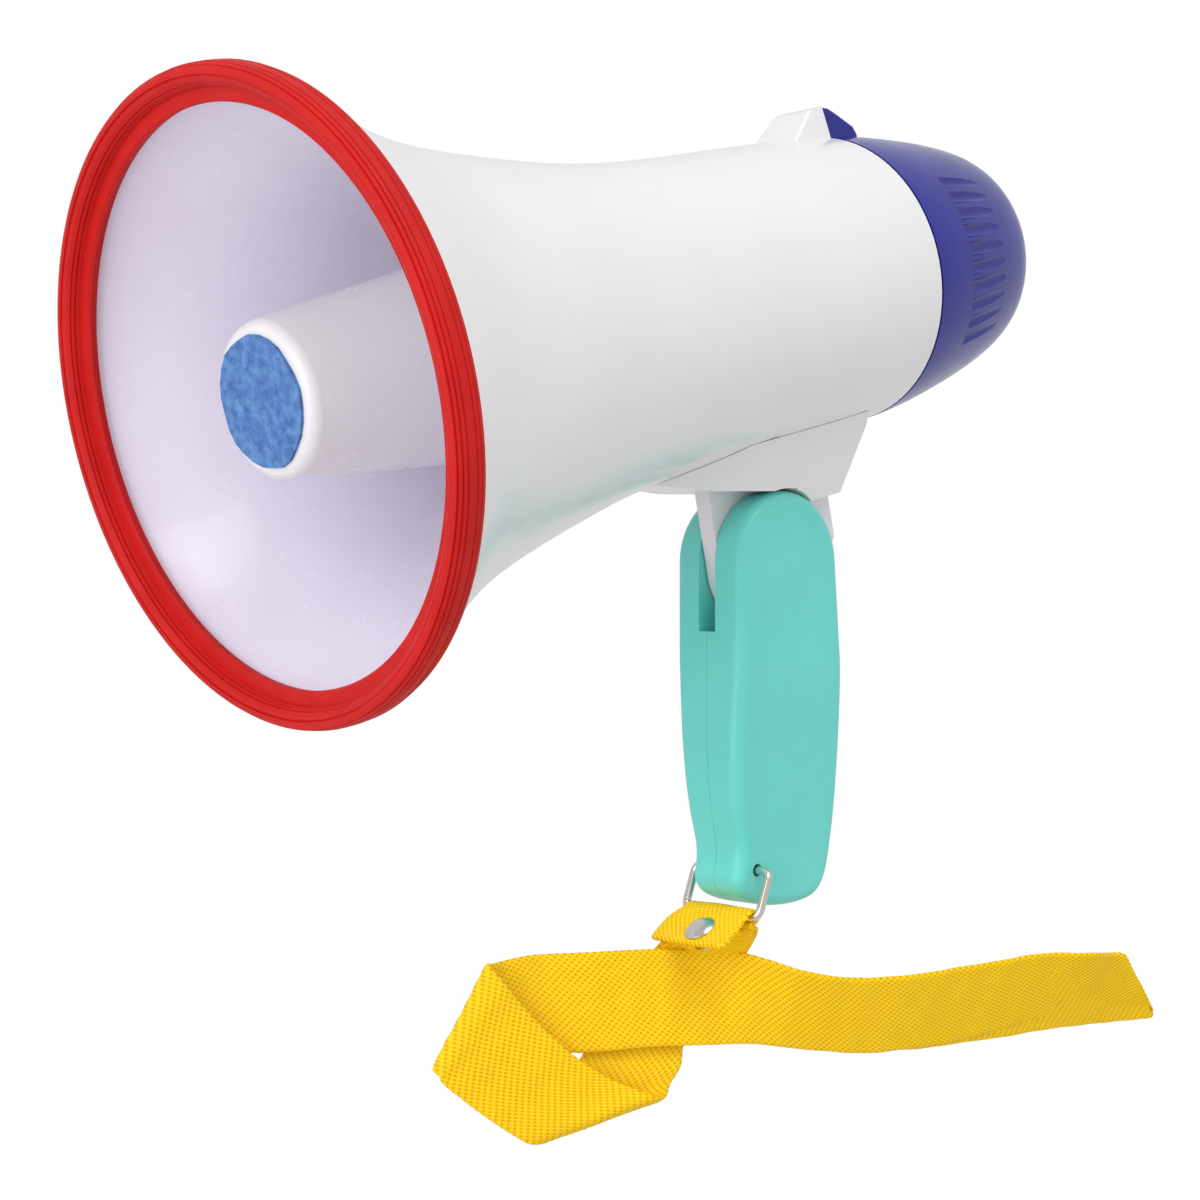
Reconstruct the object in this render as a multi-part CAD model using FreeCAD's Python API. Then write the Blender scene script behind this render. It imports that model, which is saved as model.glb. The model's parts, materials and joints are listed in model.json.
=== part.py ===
import FreeCAD, Part
import math
import os

# Small battery megaphone, lying on its side with the grip out to one side and the wrist strap laid flat.
# Millimetres. Each piece is drawn in the megaphone's own axes: Y is the horn axis (mouth at -Y, cap at +Y),
# Z points away from the grip, X is the hinge axis of the grip, and Y = 0 is the seam between shell and cap.
# At the end every piece is laid down together so that the rim, the cap and the bail touch the ground.

V = FreeCAD.Vector

# ---- driving dimensions ----
RIM_R = 76.8
RIM_BORE_R = 67.6
RIM_FRONT = -205.2
RIM_LIP = -201.2
RIM_BACK = -196.2
WALL = 2.2
SHELL = [(-200.5, 73.0), (-196.0, 71.6), (-187.0, 68.0), (-176.0, 62.4), (-165.0, 57.6), (-145.0, 51.7),
         (-125.0, 47.6), (-105.0, 44.2), (-80.0, 41.9), (-50.0, 41.3), (-25.0, 41.1), (0.0, 40.2)]
SEAM_BORE_R = 38.0
SEAM_BORE_Y = -12.0
CAP = [(0.6, 40.3), (10.0, 39.5), (20.0, 38.05), (30.0, 36.3), (40.0, 34.1), (47.0, 32.1), (52.0, 30.0),
       (56.0, 27.2), (58.7, 24.4), (60.0, 22.0)]
CAP_END = 60.0
CAP_WALL = 2.2
PANEL_R = 19.0
FLUTES = 10
FLUTE_STEP = 7.7
NOSE_R_FRONT = 18.8
NOSE_R_REAR = 29.4
NOSE_FRONT = -198.0
NOSE_REAR = -105.0
NOSE_WALL = 1.8
DISC_R = 15.5
DISC_T = 0.8
THROAT_R = 8.0
TONE_FRONT = -160.0
SEAT_Y = -84.0
PIVOT = V(0.0, -47.3, -71.8)
LEAN = math.radians(13.2)
ARCH_R = 19.8
GRIP_HALF_T = 12.5
GRIP_HALF_T_END = 9.0
SLOT_HALF = 3.1
SLOT_DEPTH = 18.5
LUG_HALF = 2.6
LUG_R = 17.2
PIN_R = 2.5
SCREW_AT = [(34.0, 9.5), (56.0, -9.0), (84.0, 5.5)]
EYE_AT = (83.0, -10.0)
WIRE_R = 1.15
BAIL_HALF = 14.0
BAIL_LEG = 13.0
BAIL_DIR = V(0.0, -0.550, -0.8352)
TAB_DIR = V(0.0, -0.93, -0.3676)
WEB_W = 25.0
WEB_T = 1.3
CELL_R = 7.1
CELL_L = 49.2
GROUND = V(0.9514, -0.1741, 0.2541)

ORIGIN = V(0, 0, 0)
AX = V(1, 0, 0)
AY = V(0, 1, 0)
AZ = V(0, 0, 1)


# ---- helpers ----
def turned(profile):
    """Solid of revolution about Y from a closed list of (y, radius) corners."""
    points = [V(0, y, r) for y, r in profile]
    face = Part.Face(Part.makePolygon(points + [points[0]]))
    return face.revolve(ORIGIN, AY, 360)


def curve(profile):
    spline = Part.BSplineCurve()
    spline.interpolate([V(0, y, r) for y, r in profile])
    return spline.toShape()


def turned_skin(outer, wall, axis_end=False):
    """Thin shell of revolution between a smooth outer curve and the same curve moved in by the wall."""
    inner = [(y, r - wall) for y, r in outer]
    a = curve(outer)
    b = curve(inner)
    first = Part.makeLine(V(0, *outer[0]), V(0, *inner[0]))
    last = Part.makeLine(V(0, *outer[-1]), V(0, *inner[-1]))
    face = Part.Face(Part.Wire(Part.__sortEdges__([a, last, b, first])))
    return face.revolve(ORIGIN, AY, 360)


def turned_core(outer):
    """Full solid of revolution inside a smooth outer curve."""
    a = curve(outer)
    y0, r0 = outer[0]
    y1, r1 = outer[-1]
    edges = [a, Part.makeLine(V(0, y1, r1), V(0, y1, 0)), Part.makeLine(V(0, y1, 0), V(0, y0, 0)),
             Part.makeLine(V(0, y0, 0), V(0, y0, r0))]
    return Part.Face(Part.Wire(Part.__sortEdges__(edges))).revolve(ORIGIN, AY, 360)


def rod(radius, start, end, at=(0.0, 0.0)):
    """Cylinder along Y from start to end, centred at (x, z)."""
    return Part.makeCylinder(radius, end - start, V(at[0], start, at[1]), AY)


def ring(outer, inner, start, end):
    return rod(outer, start, end).cut(rod(inner, start - 1, end + 1))


def pin_x(radius, x0, x1, point):
    """Cylinder along X from x0 to x1 through the given point."""
    return Part.makeCylinder(radius, x1 - x0, V(x0, point.y, point.z), AX)


def box(x0, x1, y0, y1, z0, z1):
    return Part.makeBox(x1 - x0, y1 - y0, z1 - z0, V(x0, y0, z0))


def slab(points, x0, x1):
    """Prism along X over a closed outline of (y, z) points."""
    outline = [V(x0, y, z) for y, z in points]
    return Part.Face(Part.makePolygon(outline + [outline[0]])).extrude(V(x1 - x0, 0, 0))


def loft(sections):
    wires = [Part.makePolygon([V(*p) for p in s] + [V(*s[0])]) for s in sections]
    return Part.makeLoft(wires, True, True)


def around(shape, count, start=0.0):
    """Copies of a shape turned about Y."""
    copies = []
    for i in range(count):
        copy = shape.copy()
        copy.rotate(ORIGIN, AY, start + 360.0 * i / count)
        copies.append(copy)
    return copies


def grip_point(s, u, x=0.0):
    """Point of the grip: s down its length from the hinge, u towards the cap."""
    down = V(0, -math.sin(LEAN), -math.cos(LEAN))
    back = V(0, math.cos(LEAN), -math.sin(LEAN))
    p = PIVOT + down * s + back * u
    return V(x, p.y, p.z)


nodes = {}

# ---- shell: bell, driver barrel and the lock fairing on top ----
core = turned_core(SHELL)
shell = turned_skin(SHELL, WALL)
fairing = loft([
    [(-9.2, -19.5, 36.0), (9.2, -19.5, 36.0), (9.2, 0.0, 36.0), (-9.2, 0.0, 36.0)],
    [(-7.0, -5.6, 47.6), (7.0, -5.6, 47.6), (7.0, 0.0, 48.4), (-7.0, 0.0, 48.4)]])
fairing_top = [e for e in fairing.Edges if e.BoundBox.ZMin > 47.0 and e.BoundBox.YMax < -0.1]
fairing_sides = [e for e in fairing.Edges if e.BoundBox.ZLength > 5.0 and e.BoundBox.YMin < -10.0]
fairing = fairing.makeFillet(1.0, fairing_top + fairing_sides)
shell = shell.fuse(fairing.cut(turned_core([(y, r - 1.0) for y, r in SHELL])))
seat = ring(40.5, 33.2, SEAT_Y, SEAT_Y + 3.0)
shell = shell.fuse(seat.common(core))
shell = shell.cut(rod(SEAM_BORE_R, SEAM_BORE_Y, 1.0))
bayonet_tab = ring(SEAM_BORE_R + 0.6, 36.3, -5.0, -2.8)
wedge = slab([(-6, 0), (-2, 0), (-2, 60), (-6, 60)], -8.0, 8.0)
shell = shell.fuse(around(bayonet_tab.common(wedge), 3, 60.0))
for hole in around(rod(1.3, SEAT_Y - 1.0, SEAT_Y + 2.2, (0.0, 36.2)), 3):
    shell = shell.cut(hole)
for x in (-8.0, 8.0):
    shell = shell.cut(Part.makeCylinder(1.5, 8.0, V(x, -38.0, -34.0), V(0, 0, -1)))

# ---- soft rim: flat lip, then a rounded bead with fine grooves, clipped over the bell's edge ----
BEAD = [(RIM_LIP, 71.0), (-203.2, 71.5), (-204.5, 72.6), (RIM_FRONT, 74.0), (RIM_FRONT, 74.8), (-204.9, 75.6),
        (-204.0, 76.3), (-202.6, 76.7), (-200.8, RIM_R), (-198.6, 76.7), (-197.2, 76.2)]
GROOVE_STEP = 1.25
GROOVE_DEPTH = 0.38


def grooved(outline):
    """Points along an outline of (y, radius) with shallow grooves, leaving the flat front land smooth."""
    points = [outline[0]]
    travelled = 0.0
    for (y0, r0), (y1, r1) in zip(outline, outline[1:]):
        length = math.hypot(y1 - y0, r1 - r0)
        along = GROOVE_STEP - travelled % GROOVE_STEP
        while along < length - 0.2:
            y = y0 + (y1 - y0) * along / length
            r = r0 + (r1 - r0) * along / length
            inward = ((r1 - r0) / length, -(y1 - y0) / length)
            step = ((y1 - y0) / length * 0.3, (r1 - r0) / length * 0.3)
            if abs(y - RIM_FRONT) > 0.05:
                points.append((y - step[0], r - step[1]))
                points.append((y + inward[0] * GROOVE_DEPTH, r + inward[1] * GROOVE_DEPTH))
                points.append((y + step[0], r + step[1]))
            along += GROOVE_STEP
        travelled += length
        points.append((y1, r1))
    return points


rim_outer = [(-200.4, RIM_BORE_R), (RIM_LIP, RIM_BORE_R + 0.5)] + grooved(BEAD)
rim = turned(rim_outer + [(RIM_BACK, 75.0), (RIM_BACK, 70.4), (-197.6, 69.8), (-198.4, RIM_BORE_R + 0.6)])
bell_edge = turned([(-200.6, 73.35), (-200.6, 70.55), (-196.0, 69.1), (-187.0, 65.6), (-187.0, 68.2),
                    (-196.0, 71.85)])
rim = max(rim.cut(bell_edge).Solids, key=lambda part: part.Volume)
nodes["bell_rim_ring"] = rim

# ---- saddle under the barrel, with the lug that enters the grip ----
SADDLE_SIDE = [(-12.6, -30.0), (-12.6, -39.4), (-19.3, -57.5), (-34.0, -57.5), (-40.0, -52.4), (-49.3, -51.4),
               (-69.0, -47.4), (-84.5, -43.0), (-93.0, -40.0), (-93.0, -30.0)]
saddle_plan = loft([
    [(22.0, -8.0, -30.0), (22.0, -62.0, -30.0), (7.0, -94.0, -30.0), (-7.0, -94.0, -30.0),
     (-22.0, -62.0, -30.0), (-22.0, -8.0, -30.0)],
    [(9.8, -8.0, -58.0), (9.8, -60.0, -58.0), (4.0, -88.0, -58.0), (-4.0, -88.0, -58.0),
     (-9.8, -60.0, -58.0), (-9.8, -8.0, -58.0)]])
saddle = slab(SADDLE_SIDE, -24.0, 24.0).common(saddle_plan)
upright = [e for e in saddle.Edges if abs(e.Vertexes[0].Point.z - e.Vertexes[-1].Point.z) > 8.0
           and abs(e.Vertexes[0].Point.x) > 4.5]
saddle = saddle.makeFillet(2.0, upright)
saddle = saddle.cut(pin_x(ARCH_R + 0.6, -40.0, 40.0, PIVOT))
lug_arc = pin_x(LUG_R, -LUG_HALF, LUG_HALF, PIVOT)
lug = slab([(-64.2, -47.0), (-64.5, -71.8), (-40.0, -87.2), (-30.5, -84.0), (-17.6, -70.6), (-17.6, -47.0)],
           -LUG_HALF, LUG_HALF)
lug_clear = slab([(-64.6, -71.8), (-38.0, -71.8), (-38.0, -95.0), (-64.6, -95.0)], -9.0, 9.0).cut(
    pin_x(LUG_R, -10.0, 10.0, PIVOT))
lug = lug.cut(lug_clear).fuse(lug_arc)
saddle = saddle.fuse(lug)
saddle = saddle.cut(turned_core([(y, r + 0.1) for y, r in SHELL]))
saddle = saddle.cut(pin_x(PIN_R + 0.06, -20, 20, PIVOT))
for x in (-8.0, 8.0):
    saddle = saddle.cut(Part.makeCylinder(1.25, 14.0, V(x, -38.0, -36.0), V(0, 0, -1)))
nodes["grip_saddle"] = saddle
nodes["body_shell"] = shell

screws = []
for x in (-8.0, 8.0):
    shank = Part.makeCylinder(1.2, 12.0, V(x, -38.0, -37.5), V(0, 0, -1))
    head = Part.makeCylinder(2.6, 1.8, V(x, -38.0, -35.8), V(0, 0, -1))
    screws.append(shank.fuse(head).cut(box(x - 2.0, x + 2.0, -38.4, -37.6, -36.4, -35.0)))
nodes["saddle_screws"] = Part.Compound(screws)

# ---- reflex horn: nose reflector, centre disc, tone tube with its throat plate and three ribs ----
nose_round = []
for degrees in range(0, 91, 10):
    a = math.radians(degrees)
    nose_round.append((NOSE_FRONT + 3.4 - 3.4 * math.cos(a), NOSE_R_FRONT - 3.1 + 3.1 * math.sin(a)))
nose_outer = [(NOSE_FRONT, 0.0)] + nose_round + [(NOSE_REAR, NOSE_R_REAR)]
nose_inner = [(NOSE_REAR, NOSE_R_REAR - NOSE_WALL), (NOSE_FRONT + 5.5, NOSE_R_FRONT - NOSE_WALL),
              (NOSE_FRONT + 2.2, 14.2), (NOSE_FRONT + 2.2, 0.0)]
nose = turned(nose_outer + nose_inner)
nodes["nose_reflector"] = nose
disc_points = []
for k in range(26):
    a = 2 * math.pi * k / 26
    r = DISC_R + 0.22 * math.sin(5 * a) + 0.15 * math.cos(9 * a)
    disc_points.append(V(r * math.sin(a), NOSE_FRONT - 0.05 - DISC_T, r * math.cos(a)))
disc = Part.Face(Part.makePolygon(disc_points + [disc_points[0]])).extrude(V(0, DISC_T, 0))
nodes["nose_disc"] = disc
tone = turned([(TONE_FRONT, THROAT_R + 4.5), (TONE_FRONT, THROAT_R + 6.0), (-100.0, THROAT_R + 2.4),
               (-90.5, 14.0), (-88.2, 22.0), (-86.8, 39.0), (SEAT_Y - 0.1, 39.2), (SEAT_Y - 0.1, 8.0),
               (-95.0, THROAT_R)])
rib = box(-0.9, 0.9, -142.0, -112.0, 10.0, 30.0)
nose_bore = turned([(NOSE_REAR + 1.0, 0.0), (NOSE_REAR + 1.0, NOSE_R_REAR - NOSE_WALL - 0.2),
                    (NOSE_FRONT + 5.5, NOSE_R_FRONT - NOSE_WALL - 0.2), (NOSE_FRONT + 5.5, 0.0)])
tone_core = turned([(TONE_FRONT, 0.0), (TONE_FRONT, THROAT_R + 5.2), (-100.0, THROAT_R + 1.4), (-100.0, 0.0)])
tone = tone.fuse(around(rib.common(nose_bore).cut(tone_core), 3, 30.0))
for hole in around(rod(1.6, -90.0, -80.0, (0.0, 36.2)), 3):
    tone = tone.cut(hole)

# ---- driver ----
frame = turned([(-81.8, 32.4), (-81.8, 22.0), (-80.0, 22.0), (-79.0, 23.5), (-74.0, 22.0), (-74.0, 20.0),
                (-71.5, 20.0), (-71.5, 24.0), (-77.4, 25.6), (-79.8, 27.0), (-79.8, 32.4)])
gasket = ring(32.4, 21.0, SEAT_Y + 0.05, -81.9)
driver_screws = []
for screw in around(rod(1.2, -86.0, -79.0, (0.0, 29.6)).fuse(rod(2.2, -79.7, -78.2, (0.0, 29.6))), 3, 60.0):
    driver_screws.append(screw)
for hole in around(rod(1.3, -86.3, -78.0, (0.0, 29.6)), 3, 60.0):
    frame = frame.cut(hole)
    gasket = gasket.cut(hole)
    tone = tone.cut(hole)
nodes["tone_tube"] = tone
nodes["driver_frame"] = frame
nodes["driver_gasket"] = gasket
nodes["driver_screws"] = Part.Compound(driver_screws)
nodes["driver_plates"] = Part.Compound([
    ring(22.0, 9.2, -71.3, -68.3),
    rod(22.0, -56.2, -53.2).fuse(rod(7.0, -71.0, -56.2))])
nodes["driver_magnet"] = ring(25.0, 12.0, -68.2, -56.3)
dome = turned([(-79.6, 0.0), (-79.4, 4.0), (-77.6, 8.0), (-77.6, 19.0), (-77.2, 19.0), (-77.2, 8.4),
               (-66.0, 8.4), (-66.0, 7.8), (-77.2, 7.8), (-79.0, 4.0), (-79.2, 0.0)])
nodes["driver_diaphragm"] = dome
plate_screw = rod(1.2, -88.6, SEAT_Y + 1.8, (0.0, 36.2)).fuse(rod(2.3, -90.0, -88.2, (0.0, 36.2)))
plate_screw = plate_screw.cut(box(-3, 3, -90.5, -89.4, 35.8, 36.6))
nodes["throat_screws"] = Part.Compound(around(plate_screw, 3))

# ---- power and electronics in the barrel ----
cell_at = [(-7.9, -7.9), (7.9, -7.9), (-7.9, 7.9), (7.9, 7.9)]
CELL_Y = -49.0
TRAY_END = CELL_Y + CELL_L + 3.6
tray = box(-17.2, 17.2, CELL_Y - 2.6, CELL_Y - 1.2, -17.2, 17.2)
tray = tray.fuse(box(-17.2, 17.2, TRAY_END - 1.4, TRAY_END, -17.2, 17.2))
tray = tray.fuse(box(-17.2, 17.2, CELL_Y - 2.6, TRAY_END, -17.2, -15.6))
tray = tray.fuse(box(-17.2, -15.6, CELL_Y - 2.6, TRAY_END, -17.2, 4.0))
tray = tray.fuse(box(15.6, 17.2, CELL_Y - 2.6, TRAY_END, -17.2, 4.0))
tray = tray.fuse(box(-0.5, 0.5, CELL_Y - 2.6, TRAY_END, -16.0, 16.0))
for y in (-50.0, -17.0):
    tray = tray.fuse(box(-28.35, -17.0, y, y + 3.0, -16.0, -13.2))
cells = []
for x, z in cell_at:
    cell = rod(CELL_R, CELL_Y, CELL_Y + CELL_L, (x, z))
    nub = CELL_Y + CELL_L
    cells.append(cell.fuse(rod(2.6, nub, nub + 1.0, (x, z))))
nodes["battery_tray"] = tray
nodes["battery_cells"] = Part.Compound(cells)
contacts = []
for x, z in cell_at:
    contacts.append(Part.makeTorus(3.2, 0.42, V(x, CELL_Y - 0.62, z), AY))
    contacts.append(rod(3.0, CELL_Y + CELL_L + 1.2, CELL_Y + CELL_L + 1.7, (x, z)))
nodes["battery_contacts"] = Part.Compound(contacts)
board = box(-30.0, -28.4, -50.0, -14.0, -16.0, 16.0)
chips = [box(-28.3, -25.6, -44.0, -36.0, -5.0, 5.0), box(-28.3, -20.0, -32.0, -24.0, 6.0, 14.0),
         box(-28.3, -22.0, -30.0, -20.0, -13.0, -4.0)]
nodes["amplifier_board"] = board
nodes["amplifier_parts"] = Part.Compound(chips)

# ---- rear cap: ribbed dome with lock wedge, spigot and control panel ----
cap = turned_core(CAP)
cap_hollow = turned_core([(y, r - CAP_WALL) for y, r in CAP[:-1]] + [(CAP_END - 2.4, 19.2)])
for side in (0.0, 180.0):
    for i in range(FLUTES):
        floor_start = V(37.35 + 2.3, 16.4, 0)
        floor_end = V(34.9 + 2.3, 37.5, 0)
        flute = Part.makeCylinder(2.3, (floor_end - floor_start).Length, floor_start, floor_end - floor_start)
        flute.rotate(ORIGIN, AY, (i - (FLUTES - 1) / 2.0) * FLUTE_STEP + side)
        cap = cap.cut(flute)
cap = cap.cut(cap_hollow).fuse(rod(20.0, CAP_END - 2.4, CAP_END))
cap = cap.fuse(ring(38.6, 34.0, 0.6, 2.4))
cap = cap.fuse(ring(35.8, 34.0, -9.0, 1.0))
lug_ring = ring(37.5, 35.4, -8.6, -5.6).common(slab([(-9, 0), (-5, 0), (-5, 60), (-9, 60)], -6.5, 6.5))
cap = cap.fuse(around(lug_ring, 3, 60.0))
marker = slab([(0.6, 36.5), (0.6, 48.1), (3.0, 47.6), (5.3, 46.3), (12.4, 41.7), (13.4, 39.8), (12.8, 36.5)],
              -6.8, 6.8)
marker = marker.makeFillet(0.7, [e for e in marker.Edges if e.BoundBox.ZMin > 39.0 and e.BoundBox.YMax > 2.0])
cap = cap.fuse(marker)
cap = cap.cut(rod(PANEL_R, CAP_END - 1.0, CAP_END + 1.0))
BUTTON_AT = (0.0, 10.5)
DIAL_AT = (11.0, -1.0)
SWITCH_AT = (-11.5, -1.0)
MIC_AT = (0.0, -9.8)
cap = cap.cut(rod(5.4, CAP_END - 4.0, CAP_END + 1.0, BUTTON_AT))
cap = cap.cut(rod(1.8, CAP_END - 4.0, CAP_END + 1.0, DIAL_AT))
cap = cap.cut(box(SWITCH_AT[0] - 2.0, SWITCH_AT[0] + 2.0, CAP_END - 4.0, CAP_END + 1.0, SWITCH_AT[1] - 5.0,
                  SWITCH_AT[1] + 5.0))
cap = cap.cut(rod(6.6, CAP_END - 4.0, CAP_END + 1.0, MIC_AT))
POSTS = [(0.0, 22.0), (19.1, -11.0), (-19.1, -11.0)]
for x, z in POSTS:
    post = rod(3.0, 47.2, 58.0, (x, z)).common(turned_core([(y, r - 0.5) for y, r in CAP]))
    cap = cap.fuse(post).cut(rod(1.25, 46.0, 53.0, (x, z)))
nodes["rear_cap"] = cap
grille = rod(6.5, CAP_END - 2.0, CAP_END - 0.6, MIC_AT)
for row in range(-3, 4):
    for col in range(-3, 4):
        x = MIC_AT[0] + col * 1.7 + 0.85 * (row % 2)
        z = MIC_AT[1] + row * 1.5
        if math.hypot(x - MIC_AT[0], z - MIC_AT[1]) < 5.2:
            grille = grille.cut(rod(0.5, CAP_END - 3.0, CAP_END, (x, z)))
nodes["mic_grille"] = grille
nodes["mic_capsule"] = rod(4.8, CAP_END - 8.6, CAP_END - 2.6, MIC_AT)
control = rod(24.0, 45.4, 47.0)
for x, z in POSTS:
    control = control.cut(rod(1.5, 44.0, 48.0, (x, z)))
nodes["control_board"] = control
nodes["control_parts"] = Part.Compound([
    box(-3.0, 3.0, 47.1, 51.2, BUTTON_AT[1] - 3.0, BUTTON_AT[1] + 3.0),
    rod(5.5, 47.1, 51.4, DIAL_AT),
    box(SWITCH_AT[0] - 3.0, SWITCH_AT[0] + 3.0, 47.1, 51.4, SWITCH_AT[1] - 6.0, SWITCH_AT[1] + 6.0)])
post_screws = []
for x, z in POSTS:
    screw = rod(1.2, 45.0, 52.4, (x, z)).fuse(rod(2.3, 43.6, 45.3, (x, z)))
    post_screws.append(screw.cut(box(x - 3, x + 3, 43.0, 44.3, z - 0.4, z + 0.4)))
nodes["board_screws"] = Part.Compound(post_screws)
button = rod(5.0, CAP_END - 5.0, CAP_END + 1.6, BUTTON_AT)
button = button.fuse(rod(6.4, CAP_END - 5.0, CAP_END - 3.6, BUTTON_AT))
button_top = [e for e in button.Edges if e.BoundBox.YMin > CAP_END + 1.0 and e.Length > 20.0]
button = button.makeFillet(0.6, button_top)
nodes["talk_button"] = button.fuse(rod(1.6, 51.6 + 1.4, CAP_END - 4.0, BUTTON_AT))
knob = rod(5.2, CAP_END - 0.5, CAP_END + 4.0, DIAL_AT)
for i in range(12):
    a = 2 * math.pi * i / 12
    flute_at = (DIAL_AT[0] + 5.3 * math.cos(a), DIAL_AT[1] + 5.3 * math.sin(a))
    knob = knob.cut(rod(0.5, CAP_END - 1.0, CAP_END + 5.0, flute_at))
knob = knob.cut(box(DIAL_AT[0] - 0.4, DIAL_AT[0] + 0.4, CAP_END + 3.4, CAP_END + 5.0, DIAL_AT[1] + 1.0,
                    DIAL_AT[1] + 6.0))
nodes["volume_dial"] = knob.fuse(rod(1.4, 51.8, CAP_END, DIAL_AT))
slider = box(SWITCH_AT[0] - 1.6, SWITCH_AT[0] + 1.6, 51.8, CAP_END + 1.8, SWITCH_AT[1] - 4.4,
             SWITCH_AT[1] - 0.6)
nodes["siren_switch"] = slider


# ---- grip: two half shells on the hinge pin ----
def grip_edge(s, u):
    p = grip_point(s, u)
    return V(0, p.y, p.z)


def grip_outline(shrink=0.0, top=None):
    """Closed outline of the grip in the hinge plane."""
    corners = [(30, 22.2), (45, 22.5), (58, 22.2), (70, 21.5), (80, 20.3), (87, 18.6), (91.3, 15.4),
               (93.2, 10.0), (93.7, 2.5), (93.1, -5.0), (91.4, -11.5), (88.9, -15.8), (85.4, -17.3),
               (81.8, -16.6), (78.0, -16.2), (71, -17.4), (60, -19.1), (47, -19.9), (30, -19.8)]
    moved = []
    for i, (s, u) in enumerate(corners):
        s0, u0 = corners[max(i - 1, 0)]
        s1, u1 = corners[min(i + 1, len(corners) - 1)]
        length = math.hypot(s1 - s0, u1 - u0)
        moved.append((s + shrink * (u1 - u0) / length, u - shrink * (s1 - s0) / length))
    lower = Part.BSplineCurve()
    lower.interpolate([grip_edge(s, u) for s, u in moved])
    s_a, u_a = moved[0]
    s_b, u_b = moved[-1]
    if top is None:
        lean = math.radians(4.4)
        arch_end = grip_edge(-ARCH_R * math.sin(lean), ARCH_R * math.cos(lean))
        side_a = Part.makeLine(arch_end, grip_edge(s_a, u_a))
        side_b = Part.makeLine(grip_edge(s_b, u_b), grip_edge(0, -ARCH_R))
        arch = Part.Arc(grip_edge(0, -ARCH_R), grip_edge(-ARCH_R, 0), arch_end).toShape()
        edges = [lower.toShape(), side_b, arch, side_a]
    else:
        edges = [lower.toShape(), Part.makeLine(grip_edge(s_b, u_b), grip_edge(top, u_b)),
                 Part.makeLine(grip_edge(top, u_b), grip_edge(top, u_a)),
                 Part.makeLine(grip_edge(top, u_a), grip_edge(s_a, u_a))]
    return Part.Face(Part.Wire(Part.__sortEdges__(edges)))


def half_grip():
    """The half on the +X side; the other one is its mirror with screw heads instead of bosses."""
    half = grip_outline().extrude(V(GRIP_HALF_T, 0, 0)).translated(V(0.05, 0, 0))
    a = grip_point(26.0, 60.0, GRIP_HALF_T + 0.1)
    b = grip_point(26.0, -60.0, GRIP_HALF_T + 0.1)
    c = grip_point(110.0, -60.0, GRIP_HALF_T_END - 1.1)
    d = grip_point(110.0, 60.0, GRIP_HALF_T_END - 1.1)
    shift = V(20, 0, 0)
    taper = Part.makeLoft([Part.makePolygon([a, b, c, d, a]),
                           Part.makePolygon([p + shift for p in (a, b, c, d, a)])], True, True)
    half = half.cut(taper)
    rim_edges = [e for e in half.Edges if e.BoundBox.XMin > 4.0 and not is_fold_line(e)]
    return half.makeFillet(3.4, rim_edges)


def is_fold_line(edge):
    """True for the straight line across the outer face where its taper starts."""
    a = edge.Vertexes[0].Point
    b = edge.Vertexes[-1].Point
    return abs(a.x - b.x) < 0.01 and abs((b - a).Length - edge.Length) < 0.01 and 38.0 < edge.Length < 46.0


half = half_grip()
inner = grip_outline(3.0, 27.0).extrude(V(6.6, 0, 0)).translated(V(-0.5, 0, 0))
bosses = [pin_x(3.4, -1.0, 10.0, grip_point(s, u)) for s, u in SCREW_AT]
bosses.append(pin_x(4.2, -1.0, 10.0, grip_point(*EYE_AT)))
for boss in bosses:
    inner = inner.cut(boss)
half = half.cut(inner)
slot = slab([tuple(grip_point(-25, -30))[1:], tuple(grip_point(SLOT_DEPTH, -30))[1:],
             tuple(grip_point(SLOT_DEPTH, 30))[1:], tuple(grip_point(-25, 30))[1:]], -1.0, SLOT_HALF)
half = half.cut(slot)
half = half.cut(pin_x(PIN_R + 0.04, -1.0, 9.9, PIVOT))
half = half.cut(pin_x(WIRE_R + 0.6, -5.0, 15.0, grip_point(*EYE_AT)))
far = half.mirror(ORIGIN, AX)
near = half
for s, u in SCREW_AT:
    near = near.cut(pin_x(1.25, -1.0, 7.2, grip_point(s, u)))
    far = far.cut(pin_x(1.5, -15.0, 1.0, grip_point(s, u)))
    far = far.cut(pin_x(2.7, -15.0, -6.0, grip_point(s, u)))
nodes["grip_near_half"] = near
nodes["grip_far_half"] = far
nodes["pivot_pin"] = pin_x(PIN_R, -9.8, 9.8, PIVOT)
grip_screws = []
for s, u in SCREW_AT:
    p = grip_point(s, u)
    screw = pin_x(1.2, -6.5, 6.6, p).fuse(pin_x(2.4, -7.6, -6.05, p))
    grip_screws.append(screw.cut(box(-8.0, -7.0, p.y - 3, p.y + 3, p.z - 0.4, p.z + 0.4)))
nodes["grip_screws"] = Part.Compound(grip_screws)

# ---- wire bail through the grip's lower corner ----
eye = grip_point(*EYE_AT)
low = eye + BAIL_DIR * BAIL_LEG
BEND = 2.6


def wire_loop(side, start, end, along):
    """One rounded corner of the bail between a cross bar and a leg."""
    centre = start + V(side * (BAIL_HALF - BEND), 0, 0) + along * BEND
    mid = centre + V(side * BEND * math.sqrt(0.5), 0, 0) - along * BEND * math.sqrt(0.5)
    return Part.Arc(start + V(side * (BAIL_HALF - BEND), 0, 0), mid, centre + V(side * BEND, 0, 0)).toShape()


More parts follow.
